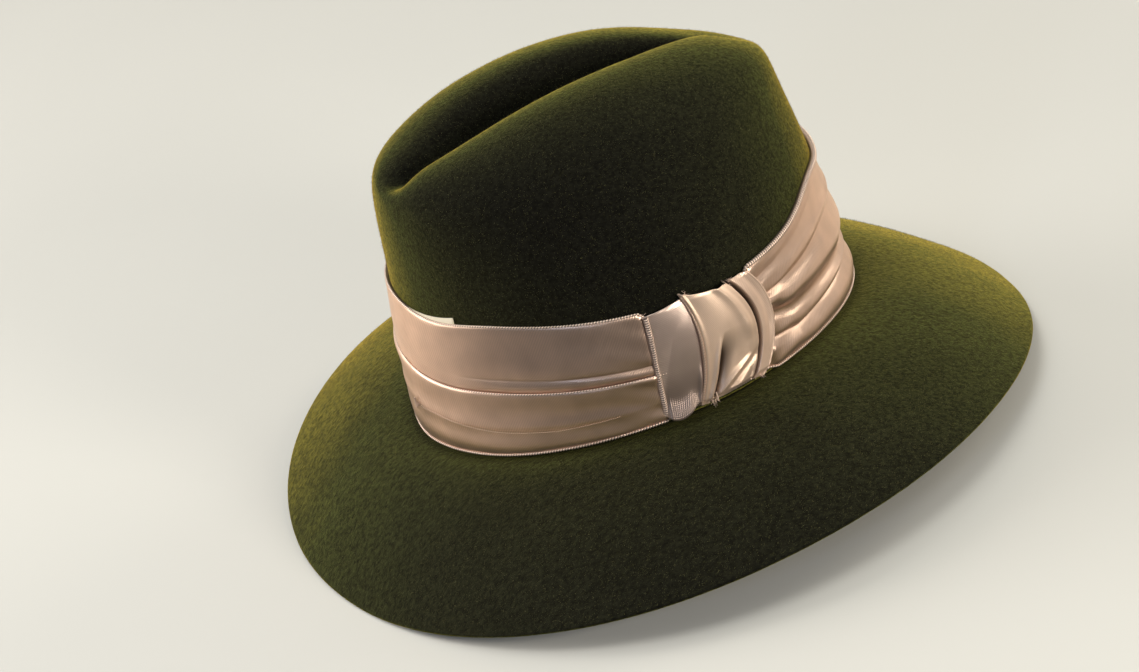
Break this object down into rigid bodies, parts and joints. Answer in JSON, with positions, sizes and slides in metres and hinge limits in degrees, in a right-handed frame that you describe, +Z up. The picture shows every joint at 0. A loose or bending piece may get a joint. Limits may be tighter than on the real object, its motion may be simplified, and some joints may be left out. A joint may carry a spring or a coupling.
{
  "type": "wide-brimmed felt hat",
  "caption": "Wide-brimmed felt hat with a centre-dented crown, a brim turned down all round, and a draped satin band knotted at the wearer's right.",
  "frame": {"origin": "on the table under the middle of the brim, where the rim rests", "axes": "+Z up, +Y the front of the hat, +X the wearer's right, where the knot sits"},
  "size_m": [0.3264, 0.345, 0.1776],
  "materials": {
    "felt_crown": "velour felt, dark olive green, matte with a soft nap",
    "felt_brim": "velour felt, dark olive green, slightly coarser nap, raw cut edge",
    "satin_band": "bias-cut satin, dusty pink beige, soft gloss",
    "cream_tape": "woven cream tape, matte",
    "satin_tab": "bias-cut satin, dusty pink beige, soft gloss",
    "satin_wrap": "bias-cut satin, dusty pink beige, soft gloss",
    "satin_strip": "bias-cut satin, dusty pink beige, soft gloss",
    "felt_thread": "olive sewing thread",
    "grosgrain": "dark olive grosgrain ribbon, fine cross ribs",
    "grosgrain_tab": "dark olive grosgrain ribbon, fine cross ribs",
    "ribbon_thread": "olive sewing thread",
    "satin_thread": "pink beige sewing thread"
  },
  "bodies": {
    "root": {"crown_felt": "felt_crown", "brim_felt": "felt_brim", "satin_band": "satin_band", "backing_tape": "cream_tape", "knot_tab": "satin_tab", "knot_wrap": "satin_wrap", "knot_strip": "satin_strip", "headline_thread": "felt_thread", "sweatband": "grosgrain", "sweatband_tab": "grosgrain_tab", "sweatband_thread": "ribbon_thread", "knot_tack": "satin_thread", "band_tack": "satin_thread"}
  },
  "joints": []
}
